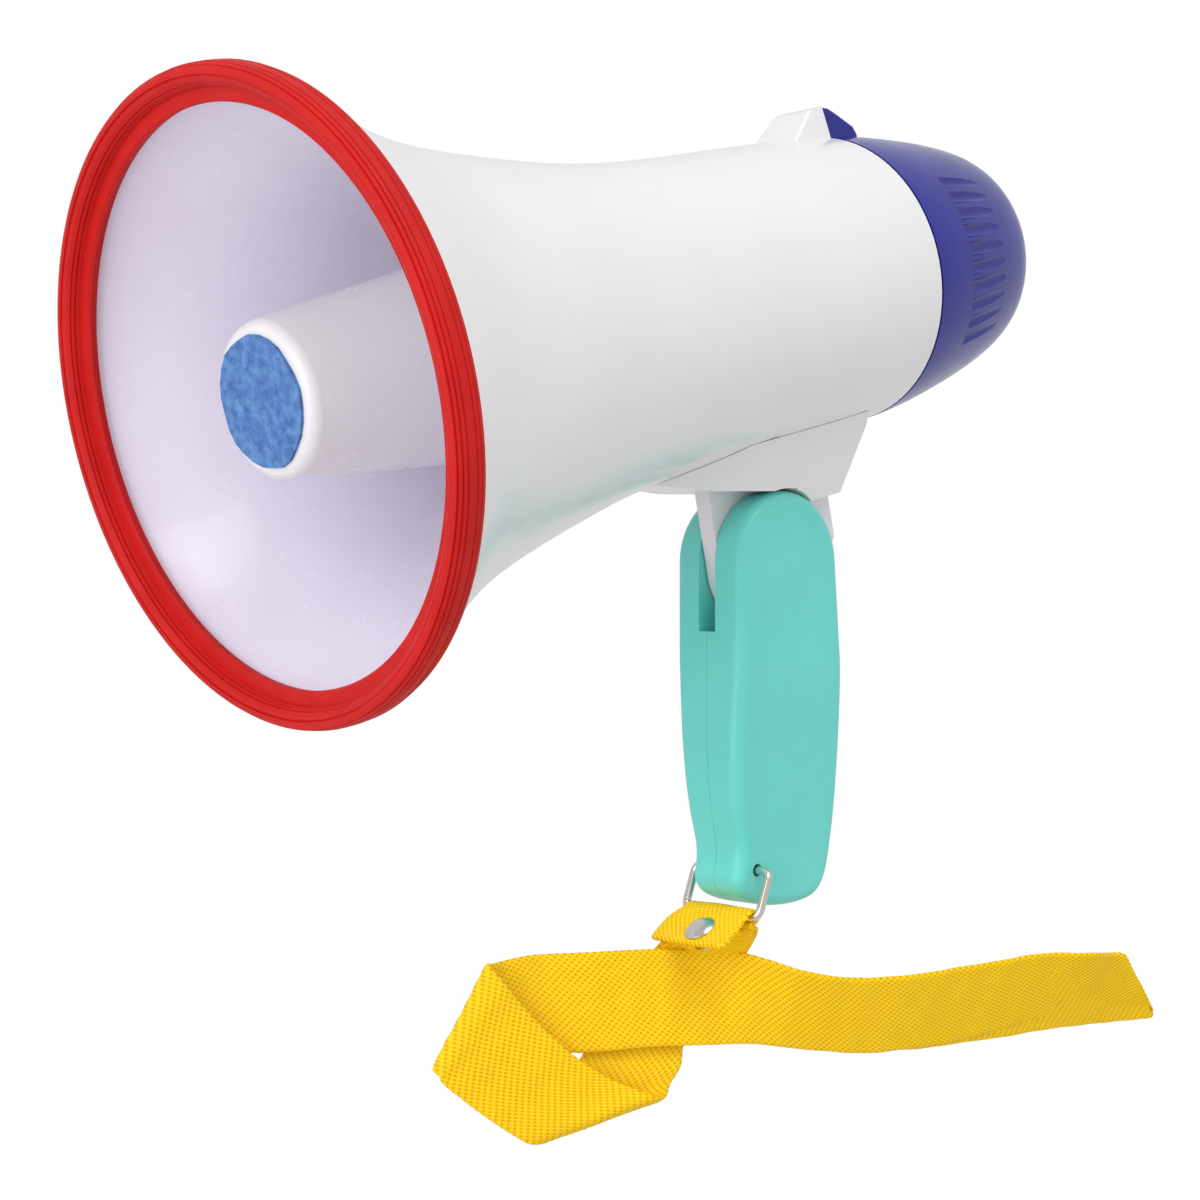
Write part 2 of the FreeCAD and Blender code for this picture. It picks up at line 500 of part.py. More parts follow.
up = BAIL_DIR * -1
path = [
    Part.makeLine(eye, eye + V(BAIL_HALF - BEND, 0, 0)),
    wire_loop(1, eye, low, BAIL_DIR),
    Part.makeLine(eye + V(BAIL_HALF, 0, 0) + BAIL_DIR * BEND, low + V(BAIL_HALF, 0, 0) + up * BEND),
    wire_loop(1, low, eye, up),
    Part.makeLine(low + V(BAIL_HALF - BEND, 0, 0), low - V(BAIL_HALF - BEND, 0, 0)),
    wire_loop(-1, low, eye, up),
    Part.makeLine(low - V(BAIL_HALF, 0, 0) + up * BEND, eye - V(BAIL_HALF, 0, 0) + BAIL_DIR * BEND),
    wire_loop(-1, eye, low, BAIL_DIR),
    Part.makeLine(eye - V(BAIL_HALF - BEND, 0, 0), eye - V(0.25, 0, 0))]
spine = Part.Wire(Part.__sortEdges__(path))
section = Part.Wire(Part.Circle(eye, AX, WIRE_R).toShape())
nodes["wire_bail"] = spine.makePipeShell([section], True, True)

# ---- webbing strap: riveted tab on the bail, then the loop laid flat on the ground ----
# Ground axes: G_OUT runs out along the grip, G_BACK runs towards the cap.
G_BACK = AY - GROUND * GROUND.y
G_BACK.normalize()
G_OUT = G_BACK.cross(GROUND)
GROUND_LEVEL = (eye + V(-BAIL_HALF, 0, 0) + BAIL_DIR * BAIL_LEG).dot(GROUND)
GROUND_LEVEL = min(GROUND_LEVEL, (eye + V(-BAIL_HALF, 0, 0)).dot(GROUND)) - WIRE_R


def on_ground(out, back, height):
    return G_OUT * out + G_BACK * back + GROUND * (GROUND_LEVEL + height)


def ribbon(stations, height):
    """Flat strip on the ground through stations of (left out, left back, right out, right back)."""
    parts = None
    for a, b in zip(stations, stations[1:]):
        corners = [on_ground(a[0], a[1], height), on_ground(a[2], a[3], height),
                   on_ground(b[2], b[3], height), on_ground(b[0], b[1], height)]
        piece = Part.Face(Part.makePolygon(corners + [corners[0]])).extrude(GROUND * WEB_T)
        parts = piece if parts is None else parts.fuse(piece)
    return parts


tab_n = TAB_DIR.cross(AX)
tab_n.normalize()
T_HALF = 2.9


def tab_box(length, start, half_t, half_w=WEB_W / 2):
    base = low + TAB_DIR * start - tab_n * half_t
    corners = [base + V(half_w, 0, 0), base + V(half_w, 0, 0) + TAB_DIR * length,
               base - V(half_w, 0, 0) + TAB_DIR * length, base - V(half_w, 0, 0)]
    return Part.Face(Part.makePolygon(corners + [corners[0]])).extrude(tab_n * (2 * half_t))


FRONT = [(146.5, -154.0, 165.0, -175.5), (148.5, -141.0, 175.0, -141.0), (159.5, -105.0, 185.0, -106.0),
         (171.5, -78.0, 196.0, -84.0), (189.0, -47.0, 210.5, -57.0), (198.5, -20.0, 221.0, -26.0),
         (206.0, 14.0, 229.0, 8.0), (213.0, 46.0, 236.0, 40.0), (214.5, 50.5, 237.5, 45.0)]
RETURN = [(214.5, 50.5, 237.5, 45.0), (208.0, 20.0, 231.0, 14.0), (196.0, -16.0, 217.0, -26.0),
          (180.0, -50.0, 202.0, -62.0), (164.0, -82.0, 180.0, -98.0), (150.0, -99.0, 164.0, -114.0)]
LOBE = [(146.5, -154.0, 165.0, -175.5), (161.5, -147.0, 183.0, -165.0), (176.0, -138.0, 193.5, -154.0),
        (180.0, -128.0, 197.0, -136.0), (178.0, -116.0, 195.0, -118.0), (162.0, -96.0, 176.0, -104.0)]
FOLD_SHARE = 0.10
web = ribbon(FRONT, 2.4).fuse([ribbon(RETURN, 0.2), ribbon(LOBE, 0.2)])
for p, q in ((FRONT[0], FRONT[1]), (FRONT[-1], FRONT[-2])):
    r = [a + FOLD_SHARE * (b - a) for a, b in zip(p, q)]
    corners = [on_ground(p[0], p[1], 0.2), on_ground(p[2], p[3], 0.2), on_ground(r[2], r[3], 0.2),
               on_ground(r[0], r[1], 0.2)]
    fold = Part.Face(Part.makePolygon(corners + [corners[0]])).extrude(GROUND * (2.2 + WEB_T))
    web = web.fuse(fold)
tab = tab_box(20.0, -1.5, 2.0).fuse(Part.makeCylinder(T_HALF, WEB_W, low - V(WEB_W / 2, 0, 0), AX))
tab = tab.cut(Part.makeCylinder(WIRE_R + 0.4, WEB_W + 2, low - V(WEB_W / 2 + 1, 0, 0), AX))
for x in (-13.5, 11.3):
    tab = tab.cut(Part.makeCylinder(3.4, 2.2, low + V(x, 0, 0), AX))
tab = tab.fuse(tab_box(7.0, 11.0, 1.3, 15.6))
tab = tab.cut(tab_box(10.0, 9.5, 4.0, 30.0).translated(V(WEB_W / 2 + 30.0, 0, 0)))
rivet_at = low + TAB_DIR * 8.5
RIVET_R = 4.4
rivet = Part.makeCylinder(1.6, 4.9, rivet_at - tab_n * 2.45, tab_n)
rivet = rivet.fuse(Part.makeCylinder(3.6, 0.7, rivet_at - tab_n * 2.95, tab_n))
dome_cap = Part.makeSphere(6.6, rivet_at + tab_n * (2.15 - 4.9), AX).common(
    Part.makeCylinder(RIVET_R, 6.0, rivet_at + tab_n * 2.15, tab_n))
rivet = rivet.fuse(dome_cap)
web = web.fuse(tab).cut(Part.makeCylinder(1.75, 12.0, rivet_at - tab_n * 6, tab_n))
nodes["strap_webbing"] = web
nodes["strap_rivet"] = rivet

# ---- lay the megaphone down: ground normal up, mouth to -Y, grip to +X ----
turn = FreeCAD.Placement(FreeCAD.Matrix(G_OUT.x, G_OUT.y, G_OUT.z, 0, G_BACK.x, G_BACK.y, G_BACK.z, 0,
                                        GROUND.x, GROUND.y, GROUND.z, 0, 0, 0, 0, 1))
laid = {}
for name, shape in nodes.items():
    copy = shape.copy()
    copy.Placement = turn.multiply(copy.Placement)
    laid[name] = copy
bounds = FreeCAD.BoundBox()
for shape in laid.values():
    bounds.add(shape.optimalBoundingBox(True, False))
shift = V(-bounds.Center.x, -bounds.Center.y, -bounds.ZMin)

os.makedirs("parts", exist_ok=True)
for name, shape in laid.items():
    shape.translate(shift)
    shape.exportStep("parts/" + name + ".step")
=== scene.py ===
import json
import math

import bpy
import numpy as np
from mathutils import Matrix, Vector


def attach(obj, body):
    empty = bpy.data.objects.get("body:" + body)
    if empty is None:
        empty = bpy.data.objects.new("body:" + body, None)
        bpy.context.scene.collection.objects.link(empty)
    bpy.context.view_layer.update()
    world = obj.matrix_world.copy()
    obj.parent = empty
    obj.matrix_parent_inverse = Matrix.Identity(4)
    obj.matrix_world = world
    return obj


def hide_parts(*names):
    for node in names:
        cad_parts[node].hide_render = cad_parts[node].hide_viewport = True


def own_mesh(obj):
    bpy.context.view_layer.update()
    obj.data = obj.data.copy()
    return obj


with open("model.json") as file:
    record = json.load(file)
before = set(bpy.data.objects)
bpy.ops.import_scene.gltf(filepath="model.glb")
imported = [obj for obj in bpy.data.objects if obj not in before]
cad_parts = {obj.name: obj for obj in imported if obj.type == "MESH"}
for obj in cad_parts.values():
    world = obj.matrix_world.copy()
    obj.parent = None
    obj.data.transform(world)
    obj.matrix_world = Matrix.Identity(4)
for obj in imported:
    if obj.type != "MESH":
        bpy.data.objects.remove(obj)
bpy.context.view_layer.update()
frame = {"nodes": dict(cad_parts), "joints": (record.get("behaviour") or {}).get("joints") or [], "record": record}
nodes = frame["nodes"]
joints = {j["name"]: j for j in frame["joints"]}

# The megaphone's own axes, from its joints: X is the grip's hinge, Y the horn axis, Z away from the grip.
AX = -Vector(joints["grip_fold"]["axis"]).normalized()
AY = Vector(joints["cap_twist"]["axis"]).normalized()
AZ = AX.cross(AY)
SEAM = Vector(joints["cap_twist"]["pos_m"])
BAR = Vector(joints["strap_swing"]["pos_m"])
OWN = Matrix((AX, AY, AZ)).transposed().to_4x4()
OWN.translation = SEAM


def own(x, y, z):
    """Point given in millimetres along the megaphone's own axes from the seam."""
    return OWN @ Vector((x / 1000, y / 1000, z / 1000))


# The strap's webbing in millimetres.
WEB_W = 25.0
WEB_T = 1.3
NUB_ALONG = 2.1  # pitch of the weave along the strap
NUB_ACROSS = 1.5  # and across it
NUB_H = 0.32
THREADS = 22  # loose threads along the tab's cut edge

# ---------------------------------------------------------------- materials
NOISE_LOW, NOISE_HIGH = 0.25, 0.75  # nearly all values of a noise texture lie between these
COAT_ROUGHNESS = 0.12
PLASTIC_BLEED = (0.003, 0.0026, 0.0024)  # metres that light spreads inside moulded plastic
SHARP_ANGLE = math.radians(32)


def new_material(name):
    m = bpy.data.materials.new(name)
    m.use_nodes = True
    nt = m.node_tree
    return m, nt, nt.nodes["Principled BSDF"]


def add(nt, kind, **values):
    n = nt.nodes.new(kind)
    for key, value in values.items():
        if key in n.inputs.keys():
            n.inputs[key].default_value = value
        else:
            setattr(n, key, value)
    return n


def object_coords(nt):
    return add(nt, "ShaderNodeTexCoord").outputs["Object"]


def noise(nt, scale, detail=4.0, rough=0.55, vector=None):
    n = add(nt, "ShaderNodeTexNoise", Scale=scale, Detail=detail, Roughness=rough)
    nt.links.new(vector or object_coords(nt), n.inputs["Vector"])
    return n.outputs["Fac"]


def ramp(nt, fac, stops):
    r = add(nt, "ShaderNodeValToRGB")
    r.color_ramp.elements[0].position = stops[0][0]
    r.color_ramp.elements[0].color = (*stops[0][1], 1)
    r.color_ramp.elements[1].position = stops[-1][0]
    r.color_ramp.elements[1].color = (*stops[-1][1], 1)
    for p, c in stops[1:-1]:
        e = r.color_ramp.elements.new(p)
        e.color = (*c, 1)
    nt.links.new(fac, r.inputs["Fac"])
    return r.outputs["Color"]


def spread(nt, fac, low, high):
    m = add(nt, "ShaderNodeMapRange")
    m.inputs["From Min"].default_value = NOISE_LOW
    m.inputs["From Max"].default_value = NOISE_HIGH
    m.inputs["To Min"].default_value = low
    m.inputs["To Max"].default_value = high
    nt.links.new(fac, m.inputs["Value"])
    return m.outputs["Result"]


def bump(nt, height, strength, distance):
    b = add(nt, "ShaderNodeBump", Strength=strength, Distance=distance)
    nt.links.new(height, b.inputs["Height"])
    return b.outputs["Normal"]


def surface(name, color_a, color_b, rough_a, rough_b, grain=60.0, fine=900.0, fine_depth=0.00003, metal=0.0,
            coat=0.0, fine_strength=0.35, subsurface=0.0, specular=0.5):
    """Moulded or metal surface: slow colour drift, uneven gloss and a fine grain."""
    m, nt, bsdf = new_material(name)
    drift = noise(nt, grain, 5.0)
    nt.links.new(ramp(nt, drift, [(0.3, color_a), (0.7, color_b)]), bsdf.inputs["Base Color"])
    nt.links.new(spread(nt, noise(nt, grain * 3.1, 6.0), rough_a, rough_b), bsdf.inputs["Roughness"])
    nt.links.new(bump(nt, noise(nt, fine, 3.0), fine_strength, fine_depth), bsdf.inputs["Normal"])
    bsdf.inputs["Metallic"].default_value = metal
    bsdf.inputs["Specular IOR Level"].default_value = specular
    bsdf.inputs["Coat Weight"].default_value = coat
    bsdf.inputs["Coat Roughness"].default_value = COAT_ROUGHNESS
    bsdf.inputs["Subsurface Weight"].default_value = subsurface
    bsdf.inputs["Subsurface Radius"].default_value = PLASTIC_BLEED
    return m


def woven(name, valley_shade, nub, nub_highlight):
    """Webbing: the nubs of the weave from the strap's own flat coordinates, with painted shade between them, a
    painted highlight on their tops and uneven wear from a noise.
    """
    # Share of the colour from the weave's painted shade and highlight, its middle, and the share from wear.
    weave_shade_share, middle, wear_share = 0.5, 0.38, 0.24
    m, nt, bsdf = new_material(name)
    uv = add(nt, "ShaderNodeUVMap", uv_map="weave")
    split = add(nt, "ShaderNodeSeparateXYZ")
    nt.links.new(uv.outputs["UV"], split.inputs[0])
    waves = []
    for axis, pitch in (("X", NUB_ALONG / 1000), ("Y", NUB_ACROSS / 1000)):
        turn = add(nt, "ShaderNodeMath", operation="MULTIPLY")
        turn.inputs[1].default_value = 2 * math.pi / pitch
        nt.links.new(split.outputs[axis], turn.inputs[0])
        wave = add(nt, "ShaderNodeMath", operation="COSINE")
        nt.links.new(turn.outputs[0], wave.inputs[0])
        waves.append(wave.outputs[0])
    product = add(nt, "ShaderNodeMath", operation="MULTIPLY")
    nt.links.new(waves[0], product.inputs[0])
    nt.links.new(waves[1], product.inputs[1])
    height = add(nt, "ShaderNodeMath", operation="MULTIPLY_ADD")
    nt.links.new(product.outputs[0], height.inputs[0])
    height.inputs[1].default_value = weave_shade_share
    height.inputs[2].default_value = middle
    wear_and_weave_shade = add(nt, "ShaderNodeMath", operation="MULTIPLY_ADD")
    nt.links.new(noise(nt, 260, 5.0), wear_and_weave_shade.inputs[0])
    wear_and_weave_shade.inputs[1].default_value = wear_share
    nt.links.new(height.outputs[0], wear_and_weave_shade.inputs[2])
    # Painted shade in the valleys between the nubs, the nubs' own colour, then a painted highlight on the highest
    # nubs.
    color = ramp(nt, wear_and_weave_shade.outputs[0], [(0.12, valley_shade), (0.42, nub), (1.0, nub_highlight)])
    nt.links.new(color, bsdf.inputs["Base Color"])
    nt.links.new(spread(nt, noise(nt, 900, 4.0), 0.5, 0.72), bsdf.inputs["Roughness"])
    nt.links.new(bump(nt, noise(nt, 3200, 3.0), 0.5, 0.00008), bsdf.inputs["Normal"])
    bsdf.inputs["Specular IOR Level"].default_value = 0.25
    return m


def horn_plastic(name):
    """White moulding, with a faint mauve painted light where the surface faces the horn's axis, standing in for the
    light inside the bell.
    """
    outer, inner = 0.1, -0.3  # how much a plain white surface and one under the full painted light face away from the axis
    color_a, color_b, color_out = 6, 7, 2  # colour sockets of a mix node, which share their names with others
    m = surface(name, (0.79, 0.78, 0.79), (0.82, 0.812, 0.82), 0.20, 0.30, 30, 600, 0.00002, coat=0.25)
    nt = m.node_tree
    bsdf = nt.nodes["Principled BSDF"]
    plain = bsdf.inputs["Base Color"].links[0].from_socket
    coords = add(nt, "ShaderNodeTexCoord")
    offset = add(nt, "ShaderNodeVectorMath", operation="SUBTRACT")
    offset.inputs[1].default_value = SEAM
    nt.links.new(coords.outputs["Object"], offset.inputs[0])
    along = add(nt, "ShaderNodeVectorMath", operation="PROJECT")
    along.inputs[1].default_value = AY
    nt.links.new(offset.outputs[0], along.inputs[0])
    across = add(nt, "ShaderNodeVectorMath", operation="SUBTRACT")
    nt.links.new(offset.outputs[0], across.inputs[0])
    nt.links.new(along.outputs[0], across.inputs[1])
    outward = add(nt, "ShaderNodeVectorMath", operation="NORMALIZE")
    nt.links.new(across.outputs[0], outward.inputs[0])
    facing = add(nt, "ShaderNodeVectorMath", operation="DOT_PRODUCT")
    nt.links.new(outward.outputs[0], facing.inputs[0])
    nt.links.new(coords.outputs["Normal"], facing.inputs[1])
    inside = add(nt, "ShaderNodeMapRange")
    inside.inputs["From Min"].default_value = outer
    inside.inputs["From Max"].default_value = inner
    nt.links.new(facing.outputs["Value"], inside.inputs["Value"])
    blend = add(nt, "ShaderNodeMix", data_type="RGBA")
    nt.links.new(inside.outputs["Result"], blend.inputs["Factor"])
    nt.links.new(plain, blend.inputs[color_a])
    # Painted light: a mauve cast on the surfaces that face the horn's axis, for the light inside the bell.
    painted_bell_light = ramp(nt, noise(nt, 24, 4.0), [(0.3, (0.80, 0.755, 0.88)), (0.7, (0.84, 0.80, 0.92))])
    nt.links.new(painted_bell_light, blend.inputs[color_b])
    nt.links.new(blend.outputs[color_out], bsdf.inputs["Base Color"])
    return m


MATS = {
    # White shell, with a mauve painted light where it faces the horn's axis.
    "white_shell": horn_plastic("white_shell"),
    "rim_rubber": surface("rim_rubber", (0.52, 0.005, 0.004), (0.60, 0.009, 0.007), 0.5, 0.66, 70, 1400, 0.00005,
                          specular=0.25),
    "blue_cap": surface("blue_cap", (0.007, 0.009, 0.22), (0.010, 0.013, 0.27), 0.14, 0.24, 40, 800, 0.00002,
                        coat=0.12, specular=0.4),
    "disc_card": surface("disc_card", (0.035, 0.12, 0.36), (0.13, 0.29, 0.60), 0.7, 0.9, 420, 1600, 0.00025,
                         fine_strength=0.8),
    "grip_teal": surface("grip_teal", (0.13, 0.65, 0.58), (0.15, 0.70, 0.62), 0.30, 0.42, 45, 1500, 0.00003,
                         coat=0.1, subsurface=0.05),
    # Webbing colours: painted shade in the valleys, the nubs' own orange, and a painted highlight on the nub tops.
    "webbing": woven("webbing", (0.80, 0.36, 0.0), (1.0, 0.63, 0.001), (1.0, 0.72, 0.004)),
    "nickel": surface("nickel", (0.62, 0.60, 0.55), (0.74, 0.72, 0.68), 0.14, 0.26, 200, 1500, 0.00002,
                      metal=1.0),
    "zinc_steel": surface("zinc_steel", (0.50, 0.51, 0.52), (0.62, 0.63, 0.64), 0.28, 0.42, 300, 1800, 0.00003,
                          metal=1.0),
    "driver_steel": surface("driver_steel", (0.36, 0.37, 0.38), (0.46, 0.47, 0.48), 0.3, 0.5, 160, 900, 0.00005,
                            metal=1.0),
    "ferrite": surface("ferrite", (0.025, 0.025, 0.027), (0.05, 0.05, 0.052), 0.6, 0.8, 200, 1200, 0.0001),
    "black_plastic": surface("black_plastic", (0.012, 0.012, 0.013), (0.022, 0.022, 0.024), 0.4, 0.6, 120, 1600,
                             0.00006),
    "board_green": surface("board_green", (0.01, 0.09, 0.035), (0.02, 0.14, 0.05), 0.3, 0.5, 500, 900, 0.00004),
    "component_dark": surface("component_dark", (0.02, 0.02, 0.022), (0.05, 0.05, 0.055), 0.35, 0.6, 300, 1200,
                              0.00005),
    "cell_jacket": surface("cell_jacket", (0.03, 0.03, 0.04), (0.06, 0.06, 0.07), 0.25, 0.4, 100, 900, 0.00002),
    "contact_metal": surface("contact_metal", (0.60, 0.50, 0.28), (0.72, 0.62, 0.38), 0.2, 0.35, 300, 1500, 0.00003,
                             metal=1.0),
    "diaphragm_film": surface("diaphragm_film", (0.45, 0.33, 0.14), (0.55, 0.42, 0.20), 0.35, 0.5, 300, 1200,
                              0.00004),
    "foam_gasket": surface("foam_gasket", (0.02, 0.02, 0.02), (0.04, 0.04, 0.04), 0.8, 0.95, 600, 1500, 0.0002),
    "button_red": surface("button_red", (0.45, 0.012, 0.010), (0.55, 0.018, 0.014), 0.25, 0.38, 80, 1300, 0.00003),
}
SLOT_OF = {s["node"]: s["material_slot"] for s in frame["record"]["subparts"]}
for name, obj in nodes.items():
    obj.data.materials.clear()
    obj.data.materials.append(MATS[SLOT_OF[name]])
    for p in obj.data.polygons:
        p.use_smooth = True
    obj.data.set_sharp_from_angle(angle=SHARP_ANGLE)

# ---------------------------------------------------------------- webbing
PATH_SAMPLES = 6000
EDGE_ROUND = 0.7  # how far in from its edge the webbing thins
EDGE_THINNING = 0.55  # share of its thickness lost there
SELVEDGE = 1.2  # how far in from the edge the nubs are lower
SELVEDGE_NUB = 0.25  # their least share of the full height
GROUND_GAP = 0.00005  # metres, so the strap rests on the ground and not in it
TAB_DIR = (AY * -0.93 + AZ * -0.3676).normalized()
TAB_N = TAB_DIR.cross(AX).normalized()


def tab_edges(along, off, low=WEB_W / 2):
    """Both edges of a layer of the riveted tab, in millimetres: along it from the bail and off its middle plane."""
    middle = BAR * 1000 + TAB_DIR * along + TAB_N * off
    return tuple(middle - AX * low), tuple(middle + AX * (WEB_W / 2))


# Stations along the strap in millimetres on the ground: low or outer edge, then the other edge.
FLAP = [tab_edges(14.2, 1.5, 14.2), tab_edges(12.4, 1.25, 15.2), tab_edges(8.5, 1.15, 15.6),
        tab_edges(5.2, 1.3, 15.2), tab_edges(2.9, 1.6, 13.8), tab_edges(1.2, 1.85), tab_edges(-0.9, 1.55),
        tab_edges(-1.8, 0.0), tab_edges(-0.9, -1.55), tab_edges(1.5, -1.8)]
UNDER_LEFT = [((74.6, -21.5, 2.4), (82.0, -10.2, 23.0)), ((76.7, -26.0, 1.7), (86.4, -8.0, 14.0)),
              ((79.0, -31.0, 1.0), (90.6, -8.2, 5.0)), ((85.5, -43.5, 0.8), (99.0, -22.0, 1.6)),
              ((96.0, -60.3, 0.8), (105.9, -31.9, 1.0)), ((104.0, -71.0, 0.8), (110.6, -35.0, 1.1)),
              ((110.8, -79.0, 0.8), (113.8, -40.0, 1.6)), ((113.0, -82.2, 1.2), (115.4, -43.8, 4.4))]
PANEL = [((111.7, -85.8, 2.4), (114.0, -48.6, 7.6)), ((107.0, -90.2, 2.8), (109.0, -54.3, 6.8)),
         ((100.8, -95.0, 3.0), (104.4, -59.5, 6.5)), ((94.0, -99.8, 3.4), (93.4, -68.3, 7.0)),
         ((88.6, -103.3, 3.8), (79.0, -76.3, 8.2)), ((86.0, -104.0, 4.0), (68.4, -81.0, 9.4)),
         ((84.7, -104.4, 3.0), (64.6, -82.2, 8.2))]
BAND = [((85.8, -102.0, 2.2), (65.0, -79.8, 6.0)), ((89.0, -79.1, 2.4), (66.9, -67.6, 3.8)),
        ((95.9, -62.9, 3.0), (72.0, -51.9, 6.1)), ((102.5, -41.7, 4.0), (78.3, -32.4, 6.2)),
        ((108.4, -25.2, 5.0), (84.7, -16.1, 7.2)), ((112.1, -14.9, 5.0), (88.7, -9.2, 11.7)),
        ((120.0, 1.7, 4.2), (98.2, 2.8, 16.1)), ((127.9, 19.0, 3.4), (106.5, 18.9, 16.0)),
        ((132.7, 34.3, 3.2), (112.4, 37.5, 17.2)), ((138.0, 57.4, 3.2), (117.6, 59.8, 17.4)),
        ((141.8, 82.1, 3.8), (122.7, 81.6, 19.1)), ((145.0, 101.3, 4.6), (127.9, 96.1, 20.5)),
        ((150.6, 118.4, 5.2), (131.8, 107.6, 16.6)), ((155.6, 125.0, 4.2), (133.4, 111.6, 16.2))]
RETURN = [((157.6, 125.6, 2.4), (134.0, 112.0, 14.6)), ((156.6, 121.0, 1.0), (133.6, 108.5, 14.0)),
          ((149.1, 95.6, 0.9), (129.8, 91.0, 16.0)), ((142.0, 67.3, 0.8), (121.0, 66.5, 13.6)),
          ((131.6, 31.3, 0.9), (112.5, 31.0, 13.2)), ((120.6, 8.0, 1.2), (104.0, 13.0, 12.4)),
          ((111.5, -9.0, 1.5), (98.5, 1.0, 10.5)), ((102.0, -21.0, 2.0), (95.0, -3.2, 7.4)),
          ((93.0, -28.0, 2.6), (92.4, -6.0, 7.8)), ((81.2, -29.8, 2.8), (88.9, -8.2, 9.5)),
          ((77.4, -26.5, 3.2), (84.4, -10.0, 19.0)), ((75.4, -22.5, 3.4), (81.3, -13.2, 25.5))]


def smooth_path(points, samples):
    """Curve through points by cubic pieces, at each given place along its knots, and where the last knot is."""
    p = np.array(points, float)
    knots = np.concatenate([[0], np.cumsum(np.sqrt(np.linalg.norm(np.diff(p, axis=0), axis=1)) ** 1.6)])
    slopes = np.zeros_like(p)
    step = np.diff(knots)[:, None]
    chord = np.diff(p, axis=0) / step
    slopes[1:-1] = (chord[:-1] * step[1:] + chord[1:] * step[:-1]) / (step[1:] + step[:-1])
    slopes[0] = chord[0]
    slopes[-1] = chord[-1]
    out = []
    for t in samples:
        i = min(int(np.searchsorted(knots, t, side="right")) - 1, len(step) - 1)
        h = step[i, 0]
        x = (t - knots[i]) / h
        out.append((2 * x**3 - 3 * x**2 + 1) * p[i] + (x**3 - 2 * x**2 + x) * h * slopes[i]
                   + (-2 * x**3 + 3 * x**2) * p[i + 1] + (x**3 - x**2) * h * slopes[i + 1])
    return np.array(out), knots[-1]


def ribbon_rows(stations, spacing):
    """Even rows along a strap: both edges at each row, and how far along the strap each edge has come."""
    both = [(*a, *b) for a, b in stations]
    _, end = smooth_path(both, [0.0])
    rows, _ = smooth_path(both, np.linspace(0, end, PATH_SAMPLES))
    low, high = rows[:, :3], rows[:, 3:]
    middle_run = np.concatenate([[0], np.cumsum(np.linalg.norm(np.diff((low + high) / 2, axis=0), axis=1))])
    count = int(middle_run[-1] / spacing)
    even = np.linspace(0, middle_run[-1], count)
    low = np.stack([np.interp(even, middle_run, low[:, k]) for k in range(3)], 1)
    high = np.stack([np.interp(even, middle_run, high[:, k]) for k in range(3)], 1)
    run_low = np.concatenate([[0], np.cumsum(np.linalg.norm(np.diff(low, axis=0), axis=1))])
    run_high = np.concatenate([[0], np.cumsum(np.linalg.norm(np.diff(high, axis=0), axis=1))])
    return low, high, run_low, run_high, middle_run[-1]


def weave(along, across):
    """Height of the woven nubs, from 0 to 1."""
    wave = np.cos(math.pi * along / (NUB_ALONG / 2)) * np.cos(math.pi * across / (NUB_ACROSS / 2))
    return ((1 + wave) / 2) ** 0.6


def frayed_threads(first):
    """Short loose threads along the cut edge of the tab, as four-sided tubes numbered from first.
    The sines only make each thread differ from the next."""
    verts, faces = [], []
    for k in range(THREADS):
        along = -1.2 + 14.6 * k / (THREADS - 1)
        root = BAR * 1000 + TAB_DIR * along + TAB_N * (1.5 + 0.25 * math.sin(k * 2.3)) + AX * 12.2
        lean = AX * 0.8 + TAB_DIR * 0.7 * math.sin(k * 1.9) + TAB_N * (0.3 + 0.4 * math.cos(k * 2.7))
        lean.normalize()
        length = 1.0 + 0.8 * abs(math.sin(k * 1.3))
        side = lean.cross(TAB_N).normalized()
        for step in range(4):
            at = root + lean * length * step / 3 + TAB_N * 0.12 * step * step * math.sin(k * 0.9)
            thick = 0.17 * (1 - 0.2 * step)
            for a, b in ((1, 0), (0, 1), (-1, 0), (0, -1)):
                verts.append((at + side * a * thick + TAB_N * b * thick) / 1000)
        base = first + 16 * k
        for step in range(3):
            for c in range(4):
                a = base + 4 * step + c
                b = base + 4 * step + (c + 1) % 4
                faces.append((a, b, b + 4, a + 4))
        faces.append((base + 3, base + 2, base + 1, base))
        faces.append((base + 12, base + 13, base + 14, base + 15))
    return np.array(verts), np.array(faces)


